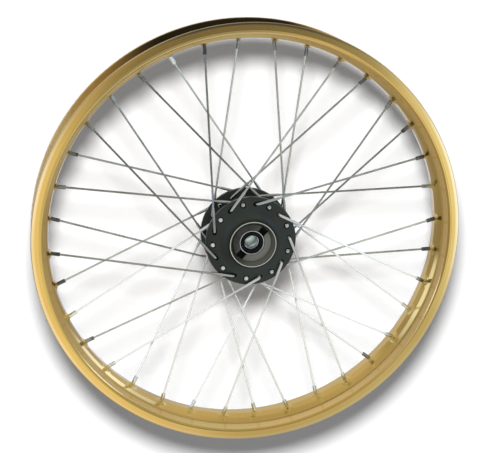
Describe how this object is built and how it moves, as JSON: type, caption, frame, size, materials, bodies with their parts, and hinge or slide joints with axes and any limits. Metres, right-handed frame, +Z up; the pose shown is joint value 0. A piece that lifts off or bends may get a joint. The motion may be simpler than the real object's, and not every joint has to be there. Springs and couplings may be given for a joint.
{
  "type": "spoked motorcycle wheel",
  "caption": "Laced motorcycle front wheel: gold drop-centre rim, crossed butted spokes, black spool hub on ball bearings, slotted speedometer drive in one end and a disc seat on the other.",
  "frame": {"origin": "The wheel's centre, where the axle's line crosses the rim's centre plane", "axes": "Y along the axle with the speedometer side at -Y, Z up, X to the right seen from the speedometer side"},
  "size_m": [0.563, 0.09, 0.563],
  "materials": {
    "rim_gold": "gold anodised, satin polished",
    "spoke_zinc": "bright zinc plated steel",
    "hub_black": "satin black paint",
    "bearing_steel": "ground",
    "ball_steel": "polished",
    "zinc_steel": "zinc plated",
    "seal_rubber": "matt",
    "drive_ring_steel": "dark phosphated"
  },
  "bodies": {
    "axle_set": {"speedometer_side_bearing_inner_race": "bearing_steel", "brake_side_bearing_inner_race": "bearing_steel", "distance_tube": "zinc_steel", "axle_collar": "zinc_steel"},
    "wheel": {"rim": "rim_gold", "hub_shell": "hub_black", "spoke_01": "spoke_zinc", "spoke_02": "spoke_zinc", "spoke_03": "spoke_zinc", "spoke_04": "spoke_zinc", "spoke_05": "spoke_zinc", "spoke_06": "spoke_zinc", "spoke_07": "spoke_zinc", "spoke_08": "spoke_zinc", "spoke_09": "spoke_zinc", "spoke_10": "spoke_zinc", "spoke_11": "spoke_zinc", "spoke_12": "spoke_zinc", "spoke_13": "spoke_zinc", "spoke_14": "spoke_zinc", "spoke_15": "spoke_zinc", "spoke_16": "spoke_zinc", "spoke_17": "spoke_zinc", "spoke_18": "spoke_zinc", "spoke_19": "spoke_zinc", "spoke_20": "spoke_zinc", "spoke_21": "spoke_zinc", "spoke_22": "spoke_zinc", "spoke_23": "spoke_zinc", "spoke_24": "spoke_zinc", "spoke_25": "spoke_zinc", "spoke_26": "spoke_zinc", "spoke_27": "spoke_zinc", "spoke_28": "spoke_zinc", "spoke_29": "spoke_zinc", "spoke_30": "spoke_zinc", "spoke_31": "spoke_zinc", "spoke_32": "spoke_zinc", "spoke_33": "spoke_zinc", "spoke_34": "spoke_zinc", "spoke_35": "spoke_zinc", "spoke_36": "spoke_zinc", "speedometer_side_bearing_outer_race": "bearing_steel", "brake_side_bearing_outer_race": "bearing_steel", "speedometer_side_seal": "seal_rubber", "brake_side_seal": "seal_rubber", "speedometer_drive_ring": "drive_ring_steel"},
    "speedometer_side_cage": {"speedometer_side_bearing_balls": "ball_steel"},
    "brake_side_cage": {"brake_side_bearing_balls": "ball_steel"}
  },
  "joints": [
    {"name": "wheel_spin", "type": "hinge", "parent": "axle_set", "child": "wheel", "pos_m": [0, 0, 0], "axis": [0, 1, 0], "continuous": true},
    {"name": "speedometer_side_cage_spin", "type": "hinge", "parent": "axle_set", "child": "speedometer_side_cage", "pos_m": [0, -0.025, 0], "axis": [0, 1, 0], "continuous": true},
    {"name": "brake_side_cage_spin", "type": "hinge", "parent": "axle_set", "child": "brake_side_cage", "pos_m": [0, 0.018, 0], "axis": [0, 1, 0], "continuous": true}
  ],
  "couplings": [
    {"joint": "speedometer_side_cage_spin", "follows": "wheel_spin", "ratio": 0.6193},
    {"joint": "brake_side_cage_spin", "follows": "wheel_spin", "ratio": 0.6193}
  ]
}
